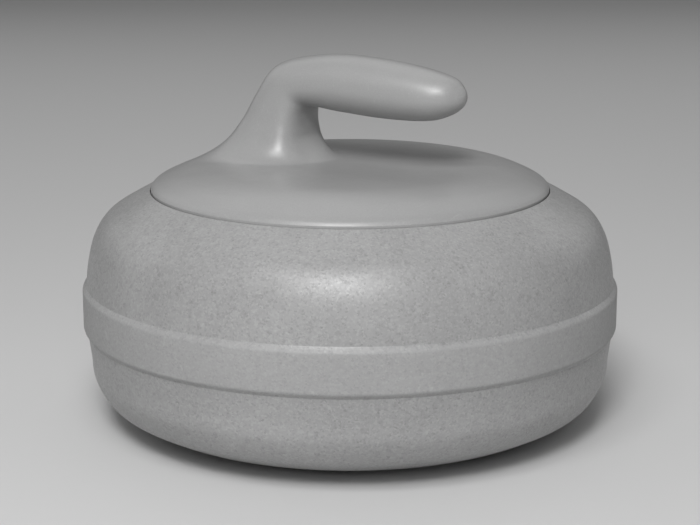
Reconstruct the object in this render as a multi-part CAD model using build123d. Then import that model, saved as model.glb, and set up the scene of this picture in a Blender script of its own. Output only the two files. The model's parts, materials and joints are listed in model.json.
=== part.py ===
"""Curling stone: a granite body clamped by one through bolt to a moulded gooseneck handle.

Frame, in millimetres: the origin is the centre of the running band's plane, +Z is up, and the
grip's free end points along +X. Everything round is turned about Z.
"""

from build123d import *

import math
import os

os.makedirs("parts", exist_ok=True)

# ---------------------------------------------------------------- stone
BAND_RADIUS = 143.0  # striking band, the widest place: 898 mm round, under the 914 mm allowed
SIDE_RADIUS = 140.9  # granite just above and below the band
BAND_HALF_HEIGHT = 11.5
BAND_BEVEL = 2.6
MID_Z = 64.5  # the band's middle above the ice
SEAT_Z = 123.0  # machined flat under the handle's cover
SEAT_RADIUS = 106.2
CROWN_Z = 125.8  # granite at the edge of the seat
BORE_RADIUS = 8.0
HEAD_RECESS_RADIUS = 20.0
HEAD_RECESS_Z = 30.0

# running insert, a disc of harder granite let into the underside
INSERT_RADIUS = 76.0
INSERT_TOP_Z = 24.0
INSERT_HOLE_RADIUS = 23.0
BOND = 0.6  # epoxy between the two granites
RUNNING_RADIUS = 62.0  # middle of the running band
RUNNING_WIDTH = 6.0
CUP_DEPTH = 6.0

# ---------------------------------------------------------------- clamping
BOLT_RADIUS = 5.0
PITCH = 1.5
THREAD_DEPTH = 0.75
BOLT_TIP_Z = 135.2
HEAD_ACROSS_FLATS = 17.0
HEAD_HEIGHT = 6.4
CUSHION_THICK = 2.5
CUP_WASHER_THICK = 2.5
LOCK_WASHER_THICK = 2.4
THREAD_LOW_Z = 118.0
THREAD_SLACK = 0.09  # radial
BOLT_TURNS = 10.8
TAP_TURNS = 14
SLEEVE_WALL = 2.8
THRUST_THICK = 1.5
THRUST_RADIUS = 19.5

# ---------------------------------------------------------------- handle cover
COVER_RADIUS = 105.8
COVER_LIFT = 0.6  # skirt's edge above the seat
COVER_TOP_Z = 139.4  # the dome is nearly flat inside half its radius
CEILING_Z = 135.2  # inside of the dome
SKIRT_INNER = 102.2
BOSS_RADIUS = 19.5
RIB_COUNT = 12
RIB_THICK = 2.6
RIB_LOW_Z = 131.2
RIB_START = 32.0
RIB_END = 97.0

INSERT_NUT_RADIUS = 8.5
INSERT_NUT_FLANGE = 11.5
INSERT_NUT_LOW_Z = 123.4
INSERT_NUT_TOP_Z = 136.4
PAD_INNER = 30.0
PAD_OUTER = 90.0
PLATE_LOW_Z = SEAT_Z + THRUST_THICK
PLATE_THICK = 3.0
PLATE_RADIUS = 99.0
PLATE_SCREWS = 6
PLATE_SCREW_CIRCLE = 84.0
SCREW_RADIUS = 2.0
SCREW_HEAD_RADIUS = 3.8
SCREW_HEAD_HEIGHT = 2.1
SCREW_BOSS_RADIUS = 5.0
CORE_PLATE_LOW_Z = 128.0
CORE_PLATE_THICK = 3.0
CORE_PLATE_SCREWS = [(-70.0, -25.0), (-70.0, 25.0), (-25.0, -27.0), (-25.0, 27.0)]

# ---------------------------------------------------------------- neck and grip
NECK_FILLET = 12.0  # blend of the neck's foot into the dome
GRIP_WALL = 3.8
CORE_RADIUS = 5.0
CORE_BEND = 15.0


def turned(*outline):
    """A solid of revolution about Z from edges drawn in the XZ plane, radius along X."""
    return revolve(make_face(outline), Axis.Z)


def ring(inner, outer, low, high):
    """A plain round washer or sleeve between two heights."""
    height = high - low
    body = Cylinder(outer, height, align=(Align.CENTER, Align.CENTER, Align.MIN))
    if inner:
        body -= Cylinder(inner, height, align=(Align.CENTER, Align.CENTER, Align.MIN))
    return Pos(0, 0, low) * body


def at(radius, z):
    return (radius, 0, z)


# ---------------------------------------------------------------- granite
# The stone's side, as radius and height from the band's middle. The upper half is crowned to the
# seat. The lower half is a little fuller, and then flattens towards the running band.
SHOULDER = [(139.4, 25.0), (136.0, 37.6), (129.6, 47.4), (119.0, 54.4)]
BELLY = [
    (139.3, -25.0),
    (137.8, -36.8),
    (131.3, -48.0),
    (122.2, -53.9),
    (114.2, -57.6),
    (104.0, -60.3),
]
BELLY_END = (INSERT_RADIUS, -62.4)


def granite_body():
    bevel_low = MID_Z - BAND_HALF_HEIGHT - BAND_BEVEL / 2
    bevel_high = MID_Z + BAND_HALF_HEIGHT + BAND_BEVEL / 2
    band_low = bevel_low + BAND_BEVEL
    band_high = bevel_high - BAND_BEVEL
    belly_end = at(BELLY_END[0], MID_Z + BELLY_END[1])
    crown = Spline(
        at(SIDE_RADIUS, bevel_high),
        *[at(r, MID_Z + h) for r, h in SHOULDER],
        at(SEAT_RADIUS, CROWN_Z),
        tangents=[(-0.07, 0, 1), (-0.88, 0, 0.47)],
    )
    belly = Spline(
        at(SIDE_RADIUS, bevel_low),
        *[at(r, MID_Z + h) for r, h in BELLY],
        belly_end,
        tangents=[(-0.07, 0, -1), (-1, 0, -0.07)],
    )
    inside = Polyline(
        belly_end,
        at(INSERT_RADIUS, INSERT_TOP_Z),
        at(HEAD_RECESS_RADIUS, INSERT_TOP_Z),
        at(HEAD_RECESS_RADIUS, HEAD_RECESS_Z),
        at(BORE_RADIUS, HEAD_RECESS_Z),
        at(BORE_RADIUS, SEAT_Z),
        at(SEAT_RADIUS, SEAT_Z),
        at(SEAT_RADIUS, CROWN_Z),
    )
    band = Polyline(
        at(SIDE_RADIUS, bevel_low),
        at(BAND_RADIUS, band_low),
        at(BAND_RADIUS, band_high),
        at(SIDE_RADIUS, bevel_high),
    )
    stone = turned(crown, band, belly, inside)
    corners = [
        edge
        for edge in stone.edges().filter_by(GeomType.CIRCLE)
        if edge.radius > SIDE_RADIUS - 0.1
    ]
    return fillet(corners, 1.2)


def underside(radius):
    """Height of the granite's convex underside between the insert's edge and the running band."""
    outer = RUNNING_RADIUS + RUNNING_WIDTH / 2
    share = (radius - outer) / (INSERT_RADIUS - outer)
    return (MID_Z + BELLY_END[1]) * share**1.2


def running_insert():
    edge = INSERT_RADIUS - BOND
    band_out = RUNNING_RADIUS + RUNNING_WIDTH / 2
    band_in = RUNNING_RADIUS - RUNNING_WIDTH / 2
    top = INSERT_TOP_Z - BOND
    flank = Spline(
        at(edge, underside(edge)),
        at((edge + band_out) / 2, underside((edge + band_out) / 2)),
        at(band_out, 0),
    )
    cup = Spline(
        at(band_in, 0),
        at(band_in - 12, 0.62 * CUP_DEPTH),
        at(INSERT_HOLE_RADIUS + 2, CUP_DEPTH),
        tangents=[(-1, 0, 0.6), (-1, 0, 0.02)],
    )
    rest = Polyline(
        at(INSERT_HOLE_RADIUS + 2, CUP_DEPTH),
        at(INSERT_HOLE_RADIUS, CUP_DEPTH + 2),
        at(INSERT_HOLE_RADIUS, top),
        at(edge, top),
        at(edge, underside(edge)),
    )
    return turned(flank, Line(at(band_out, 0), at(band_in, 0)), cup, rest)


def insert_bond():
    """The epoxy that fills the gap round and above the running insert."""
    inner = INSERT_RADIUS - BOND
    low = underside(inner) + 0.4
    outline = Polyline(
        at(inner, low),
        at(INSERT_RADIUS, low),
        at(INSERT_RADIUS, INSERT_TOP_Z),
        at(INSERT_HOLE_RADIUS, INSERT_TOP_Z),
        at(INSERT_HOLE_RADIUS, INSERT_TOP_Z - BOND),
        at(inner, INSERT_TOP_Z - BOND),
        at(inner, low),
    )
    return turned(outline)


# ---------------------------------------------------------------- clamping bolt and washers
def threaded_rod(root, crest, low, high, thread_low, turns, slack=0.0):
    """A round rod with one right-handed trapezoidal thread, which starts at thread_low."""
    base = PITCH * 0.42 + slack
    tip = PITCH * 0.12 + slack
    buried = -0.15  # the ridge starts inside the rod, so the two join cleanly
    outline = Polyline(
        (buried, -base), (crest - root, -tip), (crest - root, tip), (buried, base), (buried, -base)
    )
    section = Plane(origin=(root, 0, 0), x_dir=(1, 0, 0), z_dir=(0, 1, 0)) * make_face(outline)
    ridge = sweep(section, path=Helix(PITCH, PITCH * turns, root), is_frenet=True)
    return ring(0, root, low, high) + Pos(0, 0, thread_low) * ridge


def clamp_bolt():
    head_top = HEAD_RECESS_Z - CUSHION_THICK - CUP_WASHER_THICK - LOCK_WASHER_THICK
    hexagon = RegularPolygon(HEAD_ACROSS_FLATS / 2, 6, major_radius=False)
    head = Pos(0, 0, head_top - HEAD_HEIGHT) * extrude(hexagon, HEAD_HEIGHT)
    chamfered = Cone(
        HEAD_ACROSS_FLATS * 0.47,
        HEAD_ACROSS_FLATS * 0.47 + HEAD_HEIGHT * 1.8,
        HEAD_HEIGHT,
        align=(Align.CENTER, Align.CENTER, Align.MIN),
    )
    head &= Pos(0, 0, head_top - HEAD_HEIGHT) * chamfered
    shank = ring(0, BOLT_RADIUS, head_top, THREAD_LOW_Z - 1.0)
    root = BOLT_RADIUS - THREAD_DEPTH
    thread = threaded_rod(root, BOLT_RADIUS, THREAD_LOW_Z - 1.0, BOLT_TIP_Z, THREAD_LOW_Z, BOLT_TURNS)
    return head + shank + thread


def lock_washer():
    """Split spring washer under the bolt's head."""
    high = HEAD_RECESS_Z - CUSHION_THICK - CUP_WASHER_THICK
    whole = ring(BOLT_RADIUS + 0.3, BOLT_RADIUS + 3.2, high - LOCK_WASHER_THICK, high)
    slit = Pos(BOLT_RADIUS + 1.8, 0, high - LOCK_WASHER_THICK / 2) * Rot(25, 0, 0) * Box(5, 0.7, 8)
    return whole - slit


def cup_washer():
    high = HEAD_RECESS_Z - CUSHION_THICK
    washer = ring(BOLT_RADIUS + 0.3, HEAD_RECESS_RADIUS - 2.0, high - CUP_WASHER_THICK, high)
    rim = washer.edges().filter_by(GeomType.CIRCLE).group_by(Axis.Z)[0].sort_by(SortBy.RADIUS)[-1]
    return fillet(rim, 1.2)


def cushion_washer():
    low = HEAD_RECESS_Z - CUSHION_THICK
    return ring(BOLT_RADIUS + 0.5, HEAD_RECESS_RADIUS - 1.0, low, HEAD_RECESS_Z)


def bolt_sleeve():
    return ring(BORE_RADIUS - SLEEVE_WALL, BORE_RADIUS - 0.05, HEAD_RECESS_Z, SEAT_Z - 1.0)


def thrust_washer():
    """Nylon washer that the handle's boss turns on. It rides on the nose of the threaded insert."""
    return ring(INSERT_NUT_RADIUS + 0.1, THRUST_RADIUS, SEAT_Z, SEAT_Z + THRUST_THICK)


def seat_pad():
    """Rubber pad with drain notches between the granite and the handle's base plate."""
    pad = ring(PAD_INNER, PAD_OUTER, SEAT_Z, PLATE_LOW_Z)
    for turn in range(4):
        notch = Pos((PAD_INNER + PAD_OUTER) / 2, 0, SEAT_Z) * Box(PAD_OUTER, 4, 1.2)
        pad -= Rot(0, 0, 45 + 90 * turn) * notch
    return pad


# ---------------------------------------------------------------- screws
def countersunk_cutter(low):
    """Clearance for a screw whose flat head faces down at a plate's underside."""
    cone = Cone(
        SCREW_HEAD_RADIUS,
        SCREW_RADIUS,
        SCREW_HEAD_HEIGHT,
        align=(Align.CENTER, Align.CENTER, Align.MIN),
    )
    return Pos(0, 0, low) * cone


def countersunk_screw(low, length):
    body = countersunk_cutter(low) + ring(0, SCREW_RADIUS, low + SCREW_HEAD_HEIGHT, low + length)
    body = chamfer(body.edges().group_by(Axis.Z)[-1], 0.8)
    socket = Pos(0, 0, low) * extrude(RegularPolygon(1.25, 6, major_radius=False), 1.4)
    return body - socket


def plate_screw_places():
    places = []
    for index in range(PLATE_SCREWS):
        angle = math.radians(30 + 360 * index / PLATE_SCREWS)
        places.append((PLATE_SCREW_CIRCLE * math.cos(angle), PLATE_SCREW_CIRCLE * math.sin(angle)))
    return places


PLATE_SCREW_LENGTH = 8.0
CORE_SCREW_LENGTH = 7.5


# ---------------------------------------------------------------- neck and grip
# The neck is a leaning strap that turns over into the grip. Each station gives the section's middle,
# its lean from the horizontal, half its thickness, half its width, and how square it is.
STATIONS = [
    (-49.0, 134.0, 0, 42.0, 38.5, 2.0),
    (-47.8, 138.5, 0, 36.8, 33.6, 2.1),
    (-47.6, 141.2, 0, 33.0, 30.4, 2.2),
    (-47.3, 144.2, 0, 28.8, 26.9, 2.3),
    (-46.3, 148.5, 1, 24.6, 24.0, 2.4),
    (-44.3, 154.2, 2, 20.6, 21.7, 2.5),
    (-41.8, 161.0, 6, 17.4, 19.9, 2.6),
    (-37.8, 170.4, 20, 14.8, 18.5, 2.6),
    (-31.7, 178.6, 47, 14.3, 17.8, 2.4),
    (-20.5, 180.9, 72, 14.0, 17.7, 2.2),
    (-2.9, 181.1, 90, 15.2, 17.5, 2.1),
    (17.9, 179.8, 91, 15.4, 17.5, 2.1),
    (36.7, 178.5, 93, 14.4, 16.9, 2.1),
    (50.6, 177.6, 95, 12.5, 15.2, 2.1),
    (59.6, 177.9, 96, 9.1, 11.2, 2.1),
    (64.4, 177.0, 96, 5.0, 6.1, 2.0),
]
GRIP_TIP = (67.1, 0, 177.0)
# The hollow runs straight down through the flared foot, and stops where the grip rounds over.
CHANNEL_FOOT = [(-45.5, 130.0, 0, 22.5, 23.5, 2.4), (-45.0, 144.0, 1, 21.6, 22.6, 2.4)]
CHANNEL_STATIONS = CHANNEL_FOOT + STATIONS[5:14]
SECTION_POINTS = 16


def grip_section(station, inset=0.0):
    """A superellipse across the neck or grip, drawn from its outer side to its inner side."""
    x, z, lean, thick, wide, square = station
    outward = Vector(-math.cos(math.radians(lean)), 0, math.sin(math.radians(lean)))
    sideways = Vector(0, 1, 0)
    points = []
    for index in range(SECTION_POINTS):
        angle = 2 * math.pi * index / SECTION_POINTS
        across = math.copysign(abs(math.cos(angle)) ** (2 / square), math.cos(angle))
        along = math.copysign(abs(math.sin(angle)) ** (2 / square), math.sin(angle))
        reach = outward * ((thick - inset) * across) + sideways * ((wide - inset) * along)
        points.append(Vector(x, 0, z) + reach)
    return make_face(Spline(*points, periodic=True))


def gooseneck():
    return loft([grip_section(s) for s in STATIONS] + [Vertex(*GRIP_TIP)])


def core_channel():
    """The hollow of the neck and grip, open under the dome."""
    return loft([grip_section(s, GRIP_WALL) for s in CHANNEL_STATIONS])


def dome():
    skirt_low = SEAT_Z + COVER_LIFT
    crown = Spline(
        at(COVER_RADIUS, 127.0),
        at(104.6, 128.7),
        at(102.3, 130.4),
        at(98.5, 132.3),
        at(92.4, 134.9),
        at(84.6, 137.1),
        at(75.0, 138.6),
        at(60.0, 139.2),
        at(40.0, 139.35),
        at(20.0, COVER_TOP_Z),
        at(0, COVER_TOP_Z),
    )
    rest = Polyline(
        at(0, COVER_TOP_Z), at(0, skirt_low), at(COVER_RADIUS, skirt_low), at(COVER_RADIUS, 127.0)
    )
    return turned(crown, rest)


def under_dome():
    """The space inside the cover, with the ribs, central boss and screw bosses left standing."""
    low = SEAT_Z
    space = turned(
        Polyline(
            at(0, low),
            at(SKIRT_INNER, low),
            at(SKIRT_INNER, 127.0),
            at(98.0, 129.5),
            at(70.0, CEILING_Z),
            at(0, CEILING_Z),
            at(0, low),
        )
    )
    space -= ring(0, BOSS_RADIUS, PLATE_LOW_Z, COVER_TOP_Z)
    for index in range(RIB_COUNT):
        rib = Pos((RIB_START + RIB_END) / 2, 0, (RIB_LOW_Z + COVER_TOP_Z) / 2) * Box(
            RIB_END - RIB_START, RIB_THICK, COVER_TOP_Z - RIB_LOW_Z
        )
        space -= Rot(0, 0, 360 * index / RIB_COUNT) * rib
    for x, y in plate_screw_places():
        space -= Pos(x, y, 0) * ring(0, SCREW_BOSS_RADIUS, PLATE_LOW_Z + PLATE_THICK, COVER_TOP_Z)
    for x, y in CORE_PLATE_SCREWS:
        top = CORE_PLATE_LOW_Z + CORE_PLATE_THICK
        space -= Pos(x, y, 0) * ring(0, SCREW_BOSS_RADIUS, top, COVER_TOP_Z)
    return space


def screw_holes():
    """The pilot holes that both sets of screws fill."""
    holes = []
    for x, y in plate_screw_places():
        holes.append(Pos(x, y, 0) * ring(0, SCREW_RADIUS, PLATE_LOW_Z, PLATE_LOW_Z + PLATE_SCREW_LENGTH))
    for x, y in CORE_PLATE_SCREWS:
        high = CORE_PLATE_LOW_Z + CORE_SCREW_LENGTH
        holes.append(Pos(x, y, 0) * ring(0, SCREW_RADIUS, CORE_PLATE_LOW_Z, high))
    return holes


def insert_nut_blank():
    """Outline of the brass insert: a grooved barrel with its flange at the top."""
    radius, flange = INSERT_NUT_RADIUS, INSERT_NUT_FLANGE
    low, top = INSERT_NUT_LOW_Z, INSERT_NUT_TOP_Z
    return turned(
        Polyline(
            at(0, low),
            at(radius, low),
            at(radius, low + 3.5),
            at(radius - 1, low + 4.2),
            at(radius - 1, low + 5.6),
            at(radius, low + 6.3),
            at(radius, top - 3.0),
            at(flange, top - 3.0),
            at(flange, top),
            at(0, top),
            at(0, low),
        )
    )


def handle_moulding():
    shell, neck = dome(), gooseneck()
    whole = shell + neck
    whole = fillet(new_edges(shell, neck, combined=whole), NECK_FILLET)
    hollow = under_dome()
    channel = core_channel()
    whole -= hollow
    whole -= channel
    whole -= insert_nut_blank()
    for hole in screw_holes():
        whole -= hole
    return whole


def threaded_insert():
    """Brass insert with an internal thread in step with the bolt's, and a little slack on each side."""
    root = BOLT_RADIUS - THREAD_DEPTH + THREAD_SLACK
    tap = threaded_rod(
        root,
        BOLT_RADIUS + THREAD_SLACK,
        INSERT_NUT_LOW_Z - 10,
        INSERT_NUT_TOP_Z + 10,
        THREAD_LOW_Z + 2 * PITCH,
        TAP_TURNS,
        THREAD_SLACK / 2,
    )
    return insert_nut_blank() - tap


def core_rod():
    """Bent steel rod that stiffens the neck and grip."""
    path = FilletPolyline(
        (-47.0, 0, CORE_PLATE_LOW_Z), (-36.2, 0, 180.4), (46.0, 0, 177.9), radius=CORE_BEND
    )
    start = Plane(origin=path @ 0, z_dir=path % 0)
    rod = sweep(start * Circle(CORE_RADIUS), path=path)
    below = Pos(0, 0, CORE_PLATE_LOW_Z - 10) * Box(300, 100, 20)
    return rod - below


def core_plate():
    """Steel plate that ties the rod to the central boss, under the foot of the neck."""
    foot = Pos(-48, 0, 0) * RectangleRounded(60, 70, 12)
    arm = Pos(-20, 0, 0) * Rectangle(40, 52)
    eye = Circle(31)
    outline = foot + arm + eye - Circle(BOSS_RADIUS + 0.4)
    plate = Pos(0, 0, CORE_PLATE_LOW_Z) * extrude(outline, CORE_PLATE_THICK)
    for x, y in CORE_PLATE_SCREWS:
        plate -= Pos(x, y, 0) * countersunk_cutter(CORE_PLATE_LOW_Z)
        plate -= Pos(x, y, 0) * ring(0, SCREW_RADIUS, CORE_PLATE_LOW_Z, 140)
    return plate - core_rod()


def core_foam():
    """Rigid foam that fills the moulding round the rod."""
    above = Pos(0, 0, CORE_PLATE_LOW_Z + CORE_PLATE_THICK) * Box(
        300, 200, 200, align=(Align.CENTER, Align.CENTER, Align.MIN)
    )
    return (core_channel() & above) - core_rod()


def base_plate():
    plate = ring(BOSS_RADIUS + 0.4, PLATE_RADIUS, PLATE_LOW_Z, PLATE_LOW_Z + PLATE_THICK)
    for x, y in plate_screw_places():
        plate -= Pos(x, y, 0) * countersunk_cutter(PLATE_LOW_Z)
        plate -= Pos(x, y, 0) * ring(0, SCREW_RADIUS, PLATE_LOW_Z, PLATE_LOW_Z + PLATE_THICK)
    return plate


def rim_seal():
    """Soft ring inside the skirt that keeps meltwater out of the cover."""
    return ring(SKIRT_INNER - 2.6, SKIRT_INNER, SEAT_Z, SEAT_Z + 2.4)


# ---------------------------------------------------------------- write
PARTS = {
    "granite_body": granite_body(),
    "running_insert": running_insert(),
    "insert_bond": insert_bond(),
    "clamp_bolt": clamp_bolt(),
    "lock_washer": lock_washer(),
    "cup_washer": cup_washer(),
    "cushion_washer": cushion_washer(),
    "bolt_sleeve": bolt_sleeve(),
    "seat_pad": seat_pad(),
    "thrust_washer": thrust_washer(),
    "handle_moulding": handle_moulding(),
    "threaded_insert": threaded_insert(),
    "core_rod": core_rod(),
    "core_plate": core_plate(),
    "core_foam": core_foam(),
    "base_plate": base_plate(),
    "rim_seal": rim_seal(),
}

for index, (x, y) in enumerate(CORE_PLATE_SCREWS, start=1):
    screw = countersunk_screw(CORE_PLATE_LOW_Z, CORE_SCREW_LENGTH)
    PARTS[f"core_screw_{index}"] = Pos(x, y, 0) * screw

for index, (x, y) in enumerate(plate_screw_places(), start=1):
    screw = countersunk_screw(PLATE_LOW_Z, PLATE_SCREW_LENGTH)
    PARTS[f"plate_screw_{index}"] = Pos(x, y, 0) * screw

for name, shape in PARTS.items():
    export_step(shape, f"parts/{name}.step")
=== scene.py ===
"""Looks for the curling stone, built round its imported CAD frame.

Everything is in metres in the frame's own axes: the origin is the centre of the running band's
plane on the ice, +Z is up, and the grip's free end points along +X.
"""

import json
import math

import bpy
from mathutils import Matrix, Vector


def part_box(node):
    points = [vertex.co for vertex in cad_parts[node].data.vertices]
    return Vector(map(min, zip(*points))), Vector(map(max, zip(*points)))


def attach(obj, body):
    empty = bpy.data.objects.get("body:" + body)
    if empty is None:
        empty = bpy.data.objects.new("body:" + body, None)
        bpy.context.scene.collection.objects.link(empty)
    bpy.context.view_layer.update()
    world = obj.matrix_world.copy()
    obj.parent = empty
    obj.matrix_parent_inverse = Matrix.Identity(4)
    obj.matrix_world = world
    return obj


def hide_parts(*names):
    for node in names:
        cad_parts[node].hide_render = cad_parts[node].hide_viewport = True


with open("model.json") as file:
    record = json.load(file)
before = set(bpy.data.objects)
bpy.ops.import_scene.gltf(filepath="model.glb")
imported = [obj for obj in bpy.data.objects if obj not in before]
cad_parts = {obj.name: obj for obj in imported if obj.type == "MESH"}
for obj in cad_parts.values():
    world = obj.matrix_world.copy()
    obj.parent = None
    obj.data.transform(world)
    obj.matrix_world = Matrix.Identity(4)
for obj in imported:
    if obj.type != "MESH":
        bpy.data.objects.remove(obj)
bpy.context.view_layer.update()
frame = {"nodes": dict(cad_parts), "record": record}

MM = 0.001

# ---------------------------------------------------------------- sizes, from the frame
BAND_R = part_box("granite_body")[1].x
CROWN_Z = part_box("granite_body")[1].z
COVER_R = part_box("handle_moulding")[1].y
SKIRT_DROP = 0.9 * MM  # skirt's edge below the base plate
SKIRT_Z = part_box("base_plate")[0].z - SKIRT_DROP
SEAT_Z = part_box("seat_pad")[0].z
INSERT_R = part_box("insert_bond")[1].x
MID_Z = 64.5 * MM  # the striking band's middle
BAND_HALF = 11.5 * MM
RUNNING_R = 62.0 * MM  # middle of the running band
RUNNING_WIDTH = 6.0 * MM
BAND_PROUD = 2.1 * MM  # how far the striking band stands out of the side
SIDE_R = BAND_R - BAND_PROUD

# ---------------------------------------------------------------- mesh helpers
SHARP_ANGLE = math.radians(32)  # edges that turn more than this are shaded sharp


def mesh_object(name, points, faces):
    mesh = bpy.data.meshes.new(name)
    mesh.from_pydata([tuple(p) for p in points], [], faces)
    mesh.validate()
    mesh.update()
    mesh.shade_smooth()
    mesh.set_sharp_from_angle(angle=SHARP_ANGLE)
    obj = bpy.data.objects.new(name, mesh)
    bpy.context.scene.collection.objects.link(obj)
    return obj


def ring_mesh(name, rings, closed=False, start=None, end=None):
    """A skin over rings of equal length. start and end are single points that close its ends."""
    count = len(rings[0])
    points = [p for ring in rings for p in ring]
    faces = []
    links = len(rings) if closed else len(rings) - 1
    for r in range(links):
        a, b = r * count, ((r + 1) % len(rings)) * count
        for i in range(count):
            j = (i + 1) % count
            faces.append((a + i, a + j, b + j, b + i))
    for tip, base, flip in ((start, 0, True), (end, (len(rings) - 1) * count, False)):
        if tip is None:
            continue
        points.append(tip)
        for i in range(count):
            j = (i + 1) % count
            face = (base + i, base + j, len(points) - 1)
            faces.append(face[::-1] if flip else face)
    return mesh_object(name, points, faces)


def catmull(rows, steps):
    """Rows of numbers joined by a smooth curve through every row."""
    out = []
    for k in range(len(rows) - 1):
        p0, p1, p2 = rows[max(k - 1, 0)], rows[k], rows[k + 1]
        p3 = rows[min(k + 2, len(rows) - 1)]
        for s in range(steps):
            t = s / steps
            row = []
            for a, b, c, d in zip(p0, p1, p2, p3):
                tangent_b, tangent_c = (c - a) / 2, (d - b) / 2
                row.append(
                    b * (2 * t**3 - 3 * t**2 + 1)
                    + tangent_b * (t**3 - 2 * t**2 + t)
                    + c * (3 * t**2 - 2 * t**3)
                    + tangent_c * (t**3 - t**2)
                )
            out.append(tuple(row))
    out.append(tuple(rows[-1]))
    return out


def rounded(corners, radius, steps=5):
    """An open outline whose inner corners are each cut back and rounded."""
    out = [corners[0]]
    for k in range(1, len(corners) - 1):
        here = Vector(corners[k])
        back, ahead = Vector(corners[k - 1]) - here, Vector(corners[k + 1]) - here
        cut = min(radius, back.length * 0.45, ahead.length * 0.45)
        a, b = here + back.normalized() * cut, here + ahead.normalized() * cut
        for s in range(steps + 1):
            t = s / steps
            p = a * (1 - t) ** 2 + here * (2 * t * (1 - t)) + b * t**2
            out.append((p.x, p.y))
    out.append(corners[-1])
    return out


def lathe(name, outline, steps=288):
    """A closed outline of (radius, z) turned about Z."""
    rings = []
    for radius, z in outline:
        ring = []
        for k in range(steps):
            a = 2 * math.pi * k / steps
            ring.append((radius * math.cos(a), radius * math.sin(a), z))
        rings.append(ring)
    return ring_mesh(name, rings, closed=True)


# ---------------------------------------------------------------- node helpers


class Shader:
    """A Principled material and short ways to add nodes to it."""

    def __init__(self, name):
        self.material = bpy.data.materials.new(name)
        self.material.use_nodes = True
        self.tree = self.material.node_tree
        self.surface = self.tree.nodes["Principled BSDF"]
        self.place = self.tree.nodes.new("ShaderNodeTexCoord").outputs["Object"]

    def set(self, **values):
        for key, value in values.items():
            self.surface.inputs[key.replace("_", " ")].default_value = value

    def link(self, source, socket):
        self.tree.links.new(source, self.surface.inputs[socket])

    def node(self, kind, **inputs):
        """A new node. Inputs are named with _ for a space, and take a value or another output."""
        made = self.tree.nodes.new("ShaderNode" + kind)
        for key, value in inputs.items():
            socket = made.inputs[key.replace("_", " ")]
            if isinstance(value, bpy.types.NodeSocket):
                self.tree.links.new(value, socket)
            else:
                socket.default_value = value
        return made

    def math(self, operation, a, b=0.0, c=0.0):
        made = self.tree.nodes.new("ShaderNodeMath")
        made.operation = operation
        for socket, value in zip(made.inputs, (a, b, c)):
            if isinstance(value, bpy.types.NodeSocket):
                self.tree.links.new(value, socket)
            else:
                socket.default_value = value
        return made.outputs[0]

    def noise(self, per_metre, detail=2.0, rough=0.5, place=None, stretch=None):
        """Noise between about 0.3 and 0.7. stretch squeezes it along the axes."""
        place = place or self.place
        if stretch:
            mapping = self.node("Mapping", Vector=place)
            mapping.inputs["Scale"].default_value = stretch
            place = mapping.outputs[0]
        made = self.node("TexNoise", Vector=place, Scale=per_metre, Detail=detail, Roughness=rough)
        return made.outputs["Fac"]

    def grains(self, per_metre, place):
        """One random number from 0 to 1 for each grain of a Voronoi cell pattern."""
        cells = self.node("TexVoronoi", Vector=place, Scale=per_metre)
        return self.node("SeparateColor", Color=cells.outputs["Color"]).outputs["Red"]

    def warped(self, per_metre, reach):
        """The object's coordinates, pushed about so that cells get uneven outlines."""
        noise = self.node("TexNoise", Vector=self.place, Scale=per_metre, Detail=1.0)
        push = self.node("VectorMath")
        push.operation = "MULTIPLY_ADD"
        self.tree.links.new(noise.outputs["Color"], push.inputs[0])
        push.inputs[1].default_value = (reach, reach, reach)
        self.tree.links.new(self.place, push.inputs[2])
        return push.outputs[0]

    def ramp(self, factor, stops):
        """A colour ramp. stops are (place, grey) or (place, (r, g, b))."""
        made = self.node("ValToRGB", Fac=factor)
        elements = made.color_ramp.elements
        for k, (place, shade) in enumerate(stops):
            element = elements[k] if k < 2 else elements.new(place)
            element.position = place
            rgb = shade if isinstance(shade, tuple) else (shade, shade, shade)
            element.color = (*rgb, 1.0)
        return made.outputs["Color"]

    def blend(self, kind, factor, a, b):
        made = self.tree.nodes.new("ShaderNodeMix")
        made.data_type = "RGBA"
        made.blend_type = kind
        sockets = [s for s in made.inputs if s.enabled]
        for socket, value in zip(sockets, (factor, a, b)):
            if isinstance(value, bpy.types.NodeSocket):
                self.tree.links.new(value, socket)
            elif isinstance(value, tuple):
                socket.default_value = (*value, 1.0)
            else:
                socket.default_value = value
        return [s for s in made.outputs if s.enabled][0]

    def step(self, value, low, high):
        """0 below low, 1 above high, smooth between. It falls instead if low is above high."""
        made = self.node("MapRange", Value=value)
        made.interpolation_type = "SMOOTHSTEP"
        rising = low < high
        made.inputs["From Min"].default_value = min(low, high)
        made.inputs["From Max"].default_value = max(low, high)
        made.inputs["To Min"].default_value = 0.0 if rising else 1.0
        made.inputs["To Max"].default_value = 1.0 if rising else 0.0
        return made.outputs[0]

    def bump(self, height, depth):
        return self.node("Bump", Height=height, Distance=depth, Strength=1.0).outputs["Normal"]

    def height(self):
        return self.node("SeparateXYZ", Vector=self.place).outputs["Z"]

    def radius(self):
        """Distance from the stone's axis."""
        parts = self.node("SeparateXYZ", Vector=self.place)
        x, y = parts.outputs["X"], parts.outputs["Y"]
        square = self.math("ADD", self.math("MULTIPLY", x, x), self.math("MULTIPLY", y, y))
        return self.math("SQRT", square)


# ---------------------------------------------------------------- materials


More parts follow.
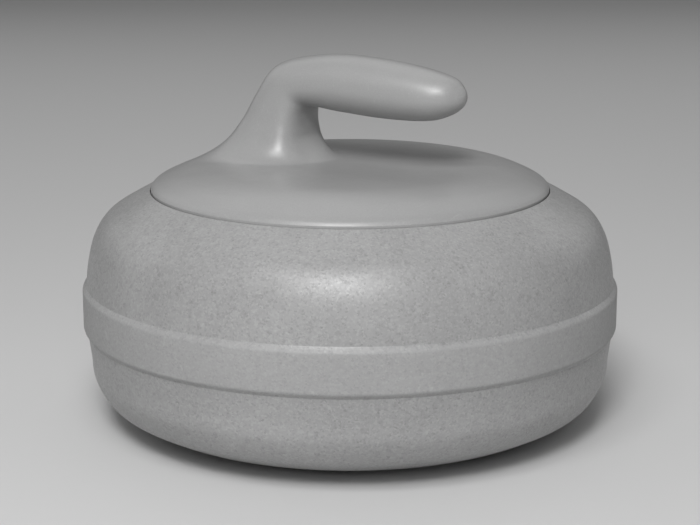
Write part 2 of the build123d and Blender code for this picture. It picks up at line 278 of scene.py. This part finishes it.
def granite(name, shades, grain, polish, band=False, running=False):
    """Fine-grained granite. shades are its dark, middle and light grains, and grain is their size.

    band adds the knocks on the striking band, and running the roughened ring that the stone runs on.
    """
    dark, middle, light = shades
    s = Shader(name)
    place = s.warped(1.1 / grain, 0.55 * grain)
    fine = s.grains(1.0 / grain, place)
    coarse = s.grains(0.42 / grain, place)
    crystals = s.ramp(
        fine,
        [
            (0.0, dark),
            (0.10, dark * 1.15),
            (0.16, middle * 0.94),
            (0.80, middle * 1.05),
            (0.90, light),
            (1.0, light),
        ],
    )
    clusters = s.ramp(
        coarse,
        [(0.0, dark), (0.08, dark * 1.1), (0.12, middle), (0.93, middle * 1.02), (0.96, light)],
    )
    colour = s.blend("MIX", 0.34, crystals, clusters)
    clouds = s.noise(22, detail=3.0)
    cloud_shade = s.ramp(clouds, [(0.30, 0.93), (0.70, 1.07)])
    colour = s.blend("MULTIPLY", 1.0, colour, cloud_shade)
    rough = s.math("MULTIPLY_ADD", fine, -0.10, polish + 0.05)
    rough = s.math("MULTIPLY_ADD", clouds, 0.12, s.math("SUBTRACT", rough, 0.06))
    pits = s.noise(1900, detail=2.0)
    relief = s.math("MULTIPLY_ADD", fine, 0.5, pits)
    if band:
        z = s.height()
        inside = s.math(
            "MULTIPLY",
            s.step(z, MID_Z - BAND_HALF - 1.2 * MM, MID_Z - BAND_HALF + 0.2 * MM),
            s.step(z, MID_Z + BAND_HALF + 1.2 * MM, MID_Z + BAND_HALF - 0.2 * MM),
        )
        outer = s.step(s.radius(), SIDE_R + 0.2 * MM, BAND_R - 0.8 * MM)
        inside = s.math("MULTIPLY", inside, outer)
        # knocks from other stones: short level scuffs and small pale bruises
        scuffs = s.noise(60, detail=4.0, rough=0.65, stretch=(1.0, 1.0, 9.0))
        scuffs = s.math("MULTIPLY", s.step(scuffs, 0.56, 0.70), inside)
        bruises = s.noise(240, detail=2.0)
        bruises = s.math("MULTIPLY", s.step(bruises, 0.66, 0.74), inside)
        colour = s.blend("MIX", s.math("MULTIPLY", inside, 0.35), colour, (middle * 1.12,) * 3)
        colour = s.blend("MIX", s.math("MULTIPLY", scuffs, 0.30), colour, (light * 1.05,) * 3)
        colour = s.blend("MIX", s.math("MULTIPLY", bruises, 0.45), colour, (light * 1.15,) * 3)
        rough = s.math("MULTIPLY_ADD", inside, 0.16, rough)
        relief = s.math("ADD", relief, s.math("MULTIPLY", inside, s.noise(900, detail=3.0)))
    if running:
        low, high = RUNNING_R - RUNNING_WIDTH / 2, RUNNING_R + RUNNING_WIDTH / 2
        ring = s.math(
            "MULTIPLY",
            s.step(s.radius(), low - 0.4 * MM, low + 0.4 * MM),
            s.step(s.radius(), high + 0.4 * MM, high - 0.4 * MM),
        )
        scratches = s.step(s.noise(700, detail=3.0, rough=0.7), 0.46, 0.62)
        frosted = s.math("MULTIPLY", ring, s.math("MULTIPLY_ADD", scratches, 0.3, 0.5))
        colour = s.blend("MIX", frosted, colour, (light * 1.5,) * 3)
        rough = s.math("MULTIPLY_ADD", ring, 0.25, rough)
    s.link(colour, "Base Color")
    s.link(rough, "Roughness")
    s.link(s.bump(relief, 0.048 * MM), "Normal")
    s.set(Specular_IOR_Level=0.5)
    return s.material


def moulded_plastic(name, shade, polish=0.35, worn=True):
    """Satin moulded plastic with a fine spark-eroded texture, handling marks and a scuffed rim."""
    s = Shader(name)
    texture = s.noise(3000, detail=2.0)
    sweep = s.noise(14, detail=2.0)
    smudge = s.noise(75, detail=4.0, rough=0.6)
    tone = s.ramp(sweep, [(0.30, shade * 0.965), (0.70, shade * 1.035)])
    speck = s.ramp(s.noise(1500, detail=3.0), [(0.35, 0.965), (0.65, 1.035)])
    colour = s.blend("MULTIPLY", 1.0, tone, speck)
    rough = s.math("MULTIPLY_ADD", smudge, 0.22, polish - 0.11)
    if worn:
        # hairline scratches, level with the cover
        for angle, seed in ((0.35, 1.7), (-0.9, 4.1), (1.9, 7.3)):
            turned = s.node("Mapping", Vector=s.place)
            turned.inputs["Rotation"].default_value = (0.0, 0.0, angle)
            turned.inputs["Location"].default_value = (seed, 0.0, 0.0)
            lines = s.noise(26, detail=3.0, place=turned.outputs[0], stretch=(1.0, 70.0, 12.0))
            lines = s.step(lines, 0.685, 0.715)
            colour = s.blend("MIX", s.math("MULTIPLY", lines, 0.22), colour, (shade * 1.5,) * 3)
            rough = s.math("MULTIPLY_ADD", lines, 0.15, rough)
        rim = s.math(
            "MULTIPLY",
            s.step(s.radius(), COVER_R - 2.6 * MM, COVER_R - 0.6 * MM),
            s.step(s.noise(420, detail=4.0, rough=0.7), 0.50, 0.72),
        )
        colour = s.blend("MIX", s.math("MULTIPLY", rim, 0.22), colour, (shade * 1.35,) * 3)
        rough = s.math("MULTIPLY_ADD", rim, 0.14, rough)
    s.link(colour, "Base Color")
    s.link(rough, "Roughness")
    s.link(s.bump(texture, 0.02 * MM), "Normal")
    return s.material


def rubber(name, shade=0.022):
    s = Shader(name)
    colour = s.ramp(s.noise(300, detail=4.0), [(0.30, shade * 0.8), (0.70, shade * 1.5)])
    s.link(colour, "Base Color")
    s.link(s.math("MULTIPLY_ADD", s.noise(120, detail=3.0), 0.3, 0.55), "Roughness")
    s.link(s.bump(s.noise(1800, detail=2.0), 0.03 * MM), "Normal")
    return s.material


def turned_metal(name, tint, polish, stain=0.0):
    """Bare metal with fine lathe rings about Z. stain adds brown bloom where water has sat."""
    s = Shader(name)
    rings = s.math("SINE", s.math("MULTIPLY", s.radius(), 2 * math.pi / (0.22 * MM)))
    grit = s.noise(900, detail=3.0)
    patches = s.noise(110, detail=4.0, rough=0.6)
    dark, pale = tuple(c * 0.86 for c in tint), tuple(min(1.0, c * 1.08) for c in tint)
    colour = s.ramp(patches, [(0.32, dark), (0.68, pale)])
    if stain:
        bloom = s.step(s.noise(160, detail=5.0, rough=0.7), 0.56, 0.72)
        colour = s.blend("MIX", s.math("MULTIPLY", bloom, stain), colour, (0.19, 0.10, 0.055))
    s.link(colour, "Base Color")
    s.link(s.math("MULTIPLY_ADD", patches, 0.25, polish - 0.08), "Roughness")
    relief = s.math("MULTIPLY_ADD", rings, 0.25, grit)
    s.link(s.bump(relief, 0.012 * MM), "Normal")
    s.set(Metallic=1.0)
    return s.material


def foam(name):
    s = Shader(name)
    cells = s.node("TexVoronoi", Vector=s.place, Scale=1300.0)
    colour = s.ramp(s.noise(90, detail=3.0), [(0.3, (0.58, 0.49, 0.33)), (0.7, (0.68, 0.60, 0.43))])
    s.link(colour, "Base Color")
    s.set(Roughness=0.85)
    s.link(s.bump(cells.outputs["Distance"], 0.25 * MM), "Normal")
    return s.material


def resin(name):
    s = Shader(name)
    s.link(s.ramp(s.noise(140, detail=3.0), [(0.3, 0.018), (0.7, 0.030)]), "Base Color")
    s.link(s.math("MULTIPLY_ADD", s.noise(60, detail=2.0), 0.2, 0.25), "Roughness")
    s.link(s.bump(s.noise(500, detail=2.0), 0.04 * MM), "Normal")
    return s.material


def nylon(name):
    s = Shader(name)
    shades = [(0.3, (0.70, 0.68, 0.61)), (0.7, (0.76, 0.74, 0.68))]
    s.link(s.ramp(s.noise(40, detail=2.0), shades), "Base Color")
    s.link(s.math("MULTIPLY_ADD", s.noise(700, detail=2.0), 0.2, 0.30), "Roughness")
    s.link(s.bump(s.noise(1400, detail=2.0), 0.015 * MM), "Normal")
    s.set(Subsurface_Weight=0.15, Subsurface_Radius=(0.001, 0.001, 0.001))
    return s.material


STONE_SHADES = (0.235, 0.309, 0.358)
RUNNING_SHADES = (0.12, 0.24, 0.33)
MATERIALS = {
    "granite": granite("granite", STONE_SHADES, 0.9 * MM, 0.385, band=True),
    "running_granite": granite("running_granite", RUNNING_SHADES, 0.6 * MM, 0.50, running=True),
    "epoxy": resin("epoxy"),
    "bolt_steel": turned_metal("bolt_steel", (0.56, 0.56, 0.57), 0.32, stain=0.35),
    "spring_steel": turned_metal("spring_steel", (0.30, 0.30, 0.31), 0.36, stain=0.5),
    "washer_steel": turned_metal("washer_steel", (0.60, 0.60, 0.61), 0.28, stain=0.25),
    "rubber": rubber("rubber"),
    "nylon": nylon("nylon"),
    "handle_plastic": moulded_plastic("handle_plastic", 0.315),
    "plate_plastic": moulded_plastic("plate_plastic", 0.035, 0.5, worn=False),
    "insert_brass": turned_metal("insert_brass", (0.78, 0.58, 0.27), 0.28),
    "core_steel": turned_metal("core_steel", (0.45, 0.45, 0.46), 0.38, stain=0.2),
    "screw_steel": turned_metal("screw_steel", (0.55, 0.55, 0.56), 0.30),
    "core_foam": foam("core_foam"),
}


def finish_as(obj, slot):
    obj.data.materials.clear()
    obj.data.materials.append(MATERIALS[slot])


for entry in frame["record"]["subparts"]:
    node = frame["nodes"][entry["node"]]
    for slot in node.material_slots:
        slot.material = MATERIALS[entry["material_slot"]]


# ---------------------------------------------------------------- granite
# SHOULDER and BELLY are radius and height from the band's middle in millimetres, as in the CAD.
# Their points follow fits to the picture's outline. They aren't worked out from dimensions.
SIDE_STEPS = 14  # rings between two points of the side
BAND_ROUND = 1.1 * MM
LIP_ROUND = 0.5 * MM
BEVEL = 2.6 * MM
BEVEL_HIGH = MID_Z + BAND_HALF + BEVEL / 2
BEVEL_LOW = MID_Z - BAND_HALF - BEVEL / 2
SHOULDER = [(139.4, 25.0), (136.0, 37.6), (129.6, 47.4), (119.0, 54.4)]
BELLY = [
    (139.3, -25.0),
    (137.8, -36.8),
    (131.3, -48.0),
    (122.2, -53.9),
    (114.2, -57.6),
    (104.0, -60.3),
]
SEAT_R = 106.2 * MM
BORE_R = 8.0 * MM
INSERT_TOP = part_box("insert_bond")[1].z
RECESS_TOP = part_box("cushion_washer")[1].z
RECESS_R = 20.0 * MM
BELLY_END = (INSERT_R, MID_Z - 62.4 * MM)


def from_middle(rows):
    return [(r * MM, MID_Z + h * MM) for r, h in rows]


def granite_outline():
    crown = catmull([(SIDE_R, BEVEL_HIGH), *from_middle(SHOULDER), (SEAT_R, CROWN_Z)], SIDE_STEPS)
    belly = catmull([(SIDE_R, BEVEL_LOW), *from_middle(BELLY), BELLY_END], SIDE_STEPS)
    band = rounded(
        [
            belly[1],
            (SIDE_R, BEVEL_LOW),
            (BAND_R, BEVEL_LOW + BEVEL),
            (BAND_R, BEVEL_HIGH - BEVEL),
            (SIDE_R, BEVEL_HIGH),
            crown[1],
        ],
        BAND_ROUND,
    )
    inside = [
        (INSERT_R, INSERT_TOP),
        (RECESS_R, INSERT_TOP),
        (RECESS_R, RECESS_TOP),
        (BORE_R, RECESS_TOP),
        (BORE_R, SEAT_Z),
        (SEAT_R, SEAT_Z),
    ]
    lip = rounded([(SEAT_R, SEAT_Z + 1 * MM), (SEAT_R, CROWN_Z), crown[-2]], LIP_ROUND)
    return band[1:-1] + crown[1:-2] + lip[:0:-1] + inside[::-1] + belly[:0:-1]


stone = lathe("turned_granite", granite_outline())
finish_as(stone, "granite")
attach(stone, "stone")
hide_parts("granite_body")


# ---------------------------------------------------------------- neck and grip
# x and z of a section's middle, its lean, half thickness, half width, and squareness. The rows are
# the CAD's above its flare, apart from the last four, which give the grip a rounder end. The CAD's
# rows, GRIP_TIP and FOOT come from a fit to the picture's outline, not from chosen dimensions.
STATIONS = [
    (-44.3, 154.2, 2, 20.6, 21.7, 2.5),
    (-41.8, 161.0, 6, 17.4, 19.9, 2.6),
    (-37.8, 170.4, 20, 14.8, 18.5, 2.6),
    (-31.7, 178.6, 47, 14.3, 17.8, 2.4),
    (-20.5, 180.9, 72, 14.0, 17.7, 2.2),
    (-2.9, 181.1, 90, 15.2, 17.5, 2.1),
    (17.9, 179.8, 91, 15.4, 17.5, 2.1),
    (36.7, 178.5, 93, 14.4, 16.9, 2.1),
    (50.6, 177.6, 95, 12.5, 15.2, 2.1),
    (59.6, 177.6, 96, 9.5, 11.4, 2.1),
    (64.4, 177.1, 96, 5.7, 6.7, 2.0),
    (66.3, 177.0, 96, 3.0, 3.5, 2.0),
    (66.9, 177.0, 96, 1.4, 1.6, 2.0),
]
GRIP_TIP = (67.1 * MM, 0.0, 177.0 * MM)
FOOT = (-52.0 * MM, 43.4 * MM, 36.6 * MM)  # where it meets the dome: middle, half length, half width
# the neck's inner side, which faces the grip, is flatter and has firmer corners
INNER_SQUARE, INNER_CUT = 1.1, 0.07
GRIP_LEAN = 62  # degrees of lean where that has faded out
AROUND = 160  # points in a ring
CURVE_STEPS = 8  # rings between two rows of the grip, and between two points of the dome
FOOT_STEPS = 14
DOME_STEPS = 22
OUTSIDE_FOOT = 1.02  # how far out the dome's slope is taken, against the foot's outline
CIRCLE_R = 90.0 * MM  # where the cover's rings have become circles


def grip_ring(station):
    x, z, lean, thick, wide, square = station
    outward = Vector((-math.cos(math.radians(lean)), 0, math.sin(math.radians(lean))))
    neck = max(0.0, 1 - lean / GRIP_LEAN)
    ring = []
    for k in range(AROUND):
        a = 2 * math.pi * k / AROUND
        inner = math.cos(a) < 0
        power = 2 / (square + INNER_SQUARE * neck if inner else square)
        depth = thick * (1 - INNER_CUT * neck) if inner else thick
        across = math.copysign(abs(math.cos(a)) ** power, math.cos(a))
        along = math.copysign(abs(math.sin(a)) ** power, math.sin(a))
        middle = Vector((x, 0, z)) * MM
        ring.append(middle + outward * (depth * across * MM) + Vector((0, wide * along * MM, 0)))
    return ring


# The cover's outside, from its rim to the middle, as in the CAD. The first seven points follow a fit
# to the picture's outline, and the rest are chosen.
DOME = catmull(
    [
        (r * MM, z * MM)
        for r, z in [
            (105.8, 127.0),
            (104.6, 128.7),
            (102.3, 130.4),
            (98.5, 132.3),
            (92.4, 134.9),
            (84.6, 137.1),
            (75.0, 138.6),
            (60.0, 139.2),
            (40.0, 139.35),
            (20.0, 139.4),
            (0.0, 139.4),
        ]
    ],
    CURVE_STEPS,
)


def dome_height(radius):
    for (r1, z1), (r0, z0) in zip(DOME, DOME[1:]):
        if r0 <= radius <= r1:
            return z0 + (z1 - z0) * (radius - r0) / (r1 - r0)
    return DOME[0][1]


def on_dome(x, y):
    return Vector((x, y, dome_height(math.hypot(x, y))))


def foot_rings(start, above):
    """Rings that sweep from the neck's lowest station down and out onto the dome."""
    middle, long_half, wide_half = FOOT
    rings = []
    ends, leaving, landing = [], [], []
    for k in range(AROUND):
        a = 2 * math.pi * k / AROUND
        out = Vector((-math.cos(a) * long_half, math.sin(a) * wide_half, 0))
        end = on_dome(middle + out.x, out.y)
        beyond = on_dome(middle + out.x * OUTSIDE_FOOT, out.y * OUTSIDE_FOOT)
        ends.append(end)
        landing.append((beyond - end).normalized())
        leaving.append((start[k] - above[k]).normalized())
    for s in range(1, FOOT_STEPS + 1):
        t = s / FOOT_STEPS
        ring = []
        for p, q, m0, m1 in zip(start, ends, leaving, landing):
            reach = (q - p).length
            ring.append(
                p * (2 * t**3 - 3 * t**2 + 1)
                + m0 * reach * (t**3 - 2 * t**2 + t)
                + q * (3 * t**2 - 2 * t**3)
                + m1 * reach * (t**3 - t**2)
            )
        rings.append(ring)
    return rings


# The cover's inside: a skirt, a roof, and a boss with the pocket for the threaded insert.
SKIRT_EDGE = 0.5 * MM
SKIRT_INNER = 102.2 * MM
SKIRT_CHAMFER = 0.4 * MM
SKIRT_TOP = 127.0 * MM
ROOF_CORNER = (98.0 * MM, 129.5 * MM)
ROOF_EDGE = 70.0 * MM
ROOF_Z = 135.2 * MM
BOSS_R = 19.5 * MM
BOSS_Z = 124.5 * MM
NUT_R = 8.6 * MM
FLANGE_R = 11.6 * MM
FLANGE_Z = 133.4 * MM
POCKET_TOP = 136.4 * MM


def dome_rings():
    """Rings that grow from the foot's outline to a circle, then follow the rim to the inside."""
    middle, long_half, wide_half = FOOT
    rings = []
    for s in range(1, DOME_STEPS + 1):
        t = s / DOME_STEPS
        ring = []
        for k in range(AROUND):
            a = 2 * math.pi * k / AROUND
            x = middle - math.cos(a) * long_half
            y = math.sin(a) * wide_half
            x += (-math.cos(a) * CIRCLE_R - x) * t
            y += (math.sin(a) * CIRCLE_R - y) * t
            ring.append(on_dome(x, y))
        rings.append(ring)
    profile = [(r, z) for r, z in reversed(DOME) if r > CIRCLE_R + 1 * MM]
    skirt = [
        (COVER_R, SKIRT_Z + SKIRT_EDGE),
        (COVER_R - SKIRT_EDGE * 0.3, SKIRT_Z + SKIRT_EDGE * 0.3),
        (COVER_R - SKIRT_EDGE, SKIRT_Z),
        (SKIRT_INNER + SKIRT_CHAMFER, SKIRT_Z),
        (SKIRT_INNER, SKIRT_Z + SKIRT_CHAMFER),
        (SKIRT_INNER, SKIRT_TOP),
        ROOF_CORNER,
        (ROOF_EDGE, ROOF_Z),
        (BOSS_R, ROOF_Z),
        (BOSS_R, BOSS_Z),
        (NUT_R, BOSS_Z),
        (NUT_R, FLANGE_Z),
        (FLANGE_R, FLANGE_Z),
        (FLANGE_R, POCKET_TOP),
    ]
    for radius, z in profile + skirt:
        ring = []
        for k in range(AROUND):
            a = 2 * math.pi * k / AROUND
            ring.append(Vector((-math.cos(a) * radius, math.sin(a) * radius, z)))
        rings.append(ring)
    return rings


def handle_rings():
    grip = [grip_ring(s) for s in reversed(catmull(STATIONS, CURVE_STEPS))]
    foot = foot_rings(grip[-1], grip[-2])
    return grip + foot + dome_rings()


handle = ring_mesh(
    "gooseneck_and_cover",
    handle_rings(),
    start=Vector(GRIP_TIP),
    end=Vector((0, 0, POCKET_TOP)),
)
finish_as(handle, "handle_plastic")
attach(handle, "handle")
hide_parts("handle_moulding")


# ---------------------------------------------------------------- floor, light and camera
CAMERA_TARGET = Vector((0, 0, 84.1 * MM))
CAMERA_DISTANCE = 0.986
CAMERA_AZIMUTH = 28.0
CAMERA_ELEVATION = 13.43
LENS_MM = 94.1
SENSOR_MM = 36.0
NEAREST, FARTHEST = 0.05, 50.0
FLOOR_HALF = 9
FLOOR_SHADE = 0.62
WORLD_SHADE = 0.80
WORLD_STRENGTH = 0.12
# name, degrees round from the camera, degrees up, distance and size in metres, watts
LIGHTS = [
    ("key", -6, 40, 1.8, 0.45, 14),
    ("front", -4, 27, 1.8, 0.9, 8),
    ("overhead_left", -26, 52, 1.8, 0.5, 5),
    ("overhead", 0, 56, 1.8, 0.6, 5),
    ("back", 180, 55, 2.2, 1.8, 6),
    ("back_left", -128, 30, 2.4, 2.2, 6),
    ("back_right", 128, 30, 2.4, 2.2, 6),
]


def toward(azimuth, elevation):
    a, e = math.radians(azimuth), math.radians(elevation)
    return Vector((math.sin(a) * math.cos(e), -math.cos(a) * math.cos(e), math.sin(e)))


def look(obj, place, target):
    obj.location = place
    obj.rotation_mode = "QUATERNION"
    obj.rotation_quaternion = (target - place).to_track_quat("-Z", "Y")


def area_light(name, azimuth, elevation, distance, size, watts):
    light = bpy.data.lights.new(name, "AREA")
    light.shape = "DISK"
    light.size = size
    light.energy = watts
    obj = bpy.data.objects.new(name, light)
    bpy.context.scene.collection.objects.link(obj)
    look(obj, CAMERA_TARGET + toward(azimuth, elevation) * distance, CAMERA_TARGET)


def pale_floor():
    s = Shader("floor")
    s.set(
        Base_Color=(FLOOR_SHADE, FLOOR_SHADE, FLOOR_SHADE, 1.0),
        Roughness=1.0,
        Specular_IOR_Level=0.1,
    )
    corners = [(x * FLOOR_HALF, y * FLOOR_HALF, 0) for x, y in ((-1, -1), (1, -1), (1, 1), (-1, 1))]
    floor = mesh_object("floor", corners, [(0, 1, 2, 3)])
    floor.data.materials.append(s.material)


pale_floor()
for name, turn, elevation, distance, size, watts in LIGHTS:
    area_light(name, CAMERA_AZIMUTH + turn, elevation, distance, size, watts)

world = bpy.data.worlds.new("studio")
world.use_nodes = True
background = world.node_tree.nodes["Background"]
background.inputs["Color"].default_value = (WORLD_SHADE, WORLD_SHADE, WORLD_SHADE, 1)
background.inputs["Strength"].default_value = WORLD_STRENGTH
bpy.context.scene.world = world
bpy.context.scene.view_settings.view_transform = "Standard"

camera = bpy.data.objects.new("camera", bpy.data.cameras.new("camera"))
camera.data.lens = LENS_MM
camera.data.sensor_width = SENSOR_MM
camera.data.clip_start = NEAREST
camera.data.clip_end = FARTHEST
bpy.context.scene.collection.objects.link(camera)
camera_place = CAMERA_TARGET + toward(CAMERA_AZIMUTH, CAMERA_ELEVATION) * CAMERA_DISTANCE
look(camera, camera_place, CAMERA_TARGET)
bpy.context.scene.camera = camera
